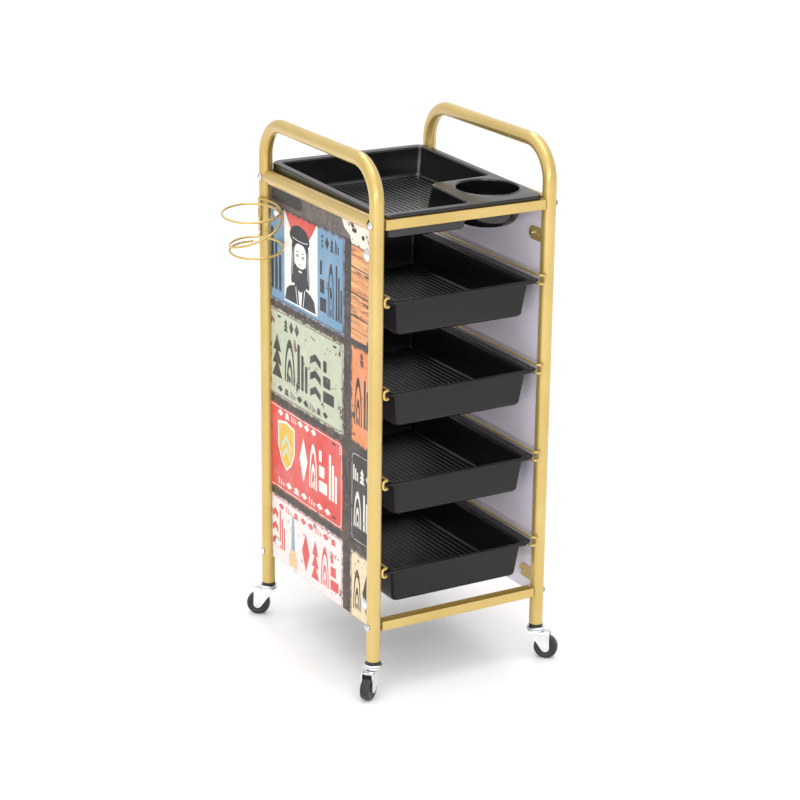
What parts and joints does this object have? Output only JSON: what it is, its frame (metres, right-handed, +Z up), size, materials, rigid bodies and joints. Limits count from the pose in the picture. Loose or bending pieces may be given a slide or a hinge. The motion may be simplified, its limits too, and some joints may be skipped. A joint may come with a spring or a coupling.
{
  "type": "rolling salon trolley",
  "caption": "Rolling salon trolley: gold bent-tube side frames, printed side panels, pull-out black trays, top tray with bowl recess, coiled dryer holder, swivel casters.",
  "frame": {"origin": "on the floor, midway between the four legs", "axes": "+Z up, -Y towards the front where the trays pull out, +X from the side frame with the dryer holder to the other one"},
  "size_m": [0.443, 0.4335, 0.8795],
  "materials": {
    "gold_paint": "gloss",
    "chrome": "polished",
    "black_plastic": "satin",
    "printed_panel": "printed outside, plain inside",
    "wheel_black": "satin",
    "socket_black": "matte"
  },
  "bodies": {
    "frame": {"left_hoop": "gold_paint", "right_hoop": "gold_paint", "left_side_rail": "gold_paint", "right_side_rail": "gold_paint", "front_top_rail": "gold_paint", "rear_top_rail": "gold_paint", "front_bottom_rail": "gold_paint", "rear_bottom_rail": "gold_paint", "rail_screws": "chrome", "left_panel": "printed_panel", "right_panel": "printed_panel", "left_tabs": "gold_paint", "right_tabs": "gold_paint", "left_panel_screws": "chrome", "right_panel_screws": "chrome", "runner_left_1": "gold_paint", "runner_left_2": "gold_paint", "runner_left_3": "gold_paint", "runner_left_4": "gold_paint", "runner_right_1": "gold_paint", "runner_right_2": "gold_paint", "runner_right_3": "gold_paint", "runner_right_4": "gold_paint", "dryer_holder": "gold_paint", "holder_bracket": "gold_paint", "holder_screws": "chrome", "leg_sockets": "socket_black", "caster_stems": "chrome"},
    "top_tray_body": {"top_tray": "black_plastic"},
    "tray_1_body": {"tray_1": "black_plastic"},
    "tray_2_body": {"tray_2": "black_plastic"},
    "tray_3_body": {"tray_3": "black_plastic"},
    "tray_4_body": {"tray_4": "black_plastic"},
    "caster_fl": {"fork_fl": "chrome", "axle_fl": "chrome"},
    "roller_fl": {"wheel_fl": "wheel_black"},
    "caster_fr": {"fork_fr": "chrome", "axle_fr": "chrome"},
    "roller_fr": {"wheel_fr": "wheel_black"},
    "caster_rl": {"fork_rl": "chrome", "axle_rl": "chrome"},
    "roller_rl": {"wheel_rl": "wheel_black"},
    "caster_rr": {"fork_rr": "chrome", "axle_rr": "chrome"},
    "roller_rr": {"wheel_rr": "wheel_black"}
  },
  "joints": [
    {"name": "top_tray_lift", "type": "slide", "parent": "frame", "child": "top_tray_body", "axis": [0, 0, 1], "range_m": [0, 0.018]},
    {"name": "tray_1_slide", "type": "slide", "parent": "frame", "child": "tray_1_body", "axis": [0, -1, 0], "range_m": [0, 0.25]},
    {"name": "tray_2_slide", "type": "slide", "parent": "frame", "child": "tray_2_body", "axis": [0, -1, 0], "range_m": [0, 0.25]},
    {"name": "tray_3_slide", "type": "slide", "parent": "frame", "child": "tray_3_body", "axis": [0, -1, 0], "range_m": [0, 0.25]},
    {"name": "tray_4_slide", "type": "slide", "parent": "frame", "child": "tray_4_body", "axis": [0, -1, 0], "range_m": [0, 0.25]},
    {"name": "caster_fl_swivel", "type": "hinge", "parent": "frame", "child": "caster_fl", "pos_m": [-0.155, -0.184, 0.05], "axis": [0, 0, 1], "continuous": true},
    {"name": "wheel_fl_roll", "type": "hinge", "parent": "caster_fl", "child": "roller_fl", "pos_m": [-0.16937, -0.19483, 0.02], "axis": [0.6018, -0.7986, 0], "continuous": true},
    {"name": "caster_fr_swivel", "type": "hinge", "parent": "frame", "child": "caster_fr", "pos_m": [0.155, -0.184, 0.05], "axis": [0, 0, 1], "continuous": true},
    {"name": "wheel_fr_roll", "type": "hinge", "parent": "caster_fr", "child": "roller_fr", "pos_m": [0.16838, -0.19604, 0.02], "axis": [0.6691, 0.7431, 0], "continuous": true},
    {"name": "caster_rl_swivel", "type": "hinge", "parent": "frame", "child": "caster_rl", "pos_m": [-0.155, 0.184, 0.05], "axis": [0, 0, 1], "continuous": true},
    {"name": "wheel_rl_roll", "type": "hinge", "parent": "caster_rl", "child": "roller_rl", "pos_m": [-0.16918, 0.19508, 0.02], "axis": [-0.6157, -0.788, 0], "continuous": true},
    {"name": "caster_rr_swivel", "type": "hinge", "parent": "frame", "child": "caster_rr", "pos_m": [0.155, 0.184, 0.05], "axis": [0, 0, 1], "continuous": true},
    {"name": "wheel_rr_roll", "type": "hinge", "parent": "caster_rr", "child": "roller_rr", "pos_m": [0.16345, 0.19989, 0.02], "axis": [-0.8829, 0.4695, 0], "continuous": true}
  ]
}
